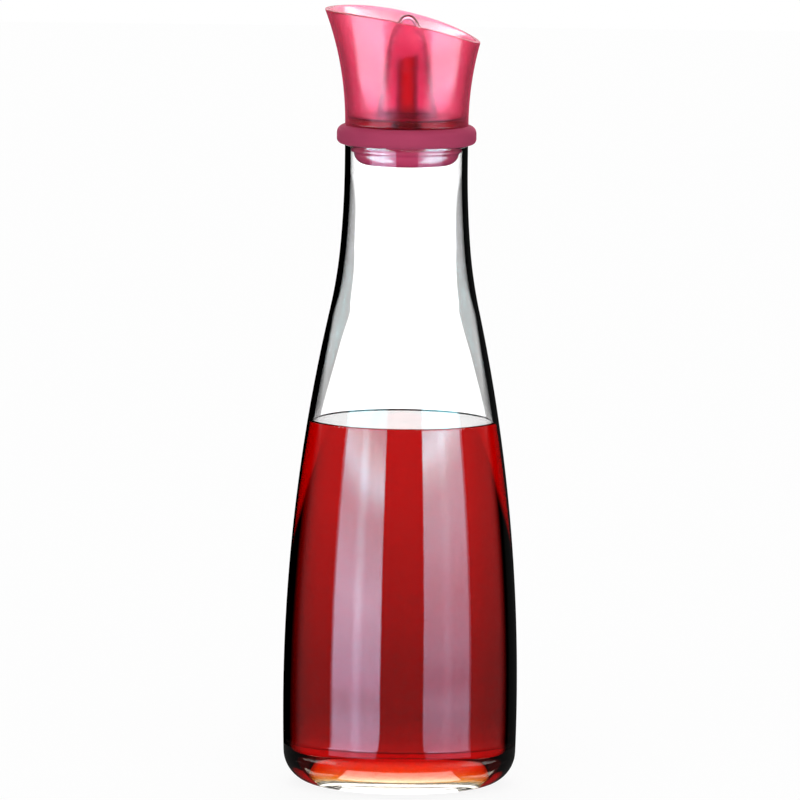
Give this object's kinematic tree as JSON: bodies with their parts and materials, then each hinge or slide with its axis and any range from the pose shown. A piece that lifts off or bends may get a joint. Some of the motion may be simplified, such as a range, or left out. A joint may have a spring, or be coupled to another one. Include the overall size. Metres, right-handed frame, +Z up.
{
  "type": "glass table bottle with pouring closure",
  "caption": "Clear glass bottle for oil or vinegar: round body, slim neck, silicone-sealed flared pouring cup with spout tube and lift-off pointed cap, part filled with red liquid.",
  "frame": {"origin": "centre of the base, on the surface that the bottle stands on", "axes": "+Z up along the bottle's axis, +X towards the low lip of the pouring cup"},
  "size_m": [0.075, 0.075, 0.2489],
  "materials": {
    "clear_glass": "clear polished glass",
    "red_liquid": "clear deep red liquid",
    "rose_silicone": "matt silicone",
    "crimson_plastic": "translucent satin plastic",
    "deep_red_plastic": "satin plastic",
    "cap_plastic": "translucent satin plastic"
  },
  "bodies": {
    "bottle": {"glass_bottle": "clear_glass", "liquid_contents": "red_liquid"},
    "closure": {"silicone_seal": "rose_silicone", "pouring_cup": "crimson_plastic", "pour_spout": "deep_red_plastic"},
    "cap": {"spout_cap": "cap_plastic"}
  },
  "joints": [
    {"name": "closure_lift", "type": "slide", "parent": "bottle", "child": "closure", "axis": [0, 0, 1], "range_m": [0, 0.06]},
    {"name": "cap_lift", "type": "slide", "parent": "closure", "child": "cap", "axis": [0, 0, 1], "range_m": [0, 0.045]}
  ]
}
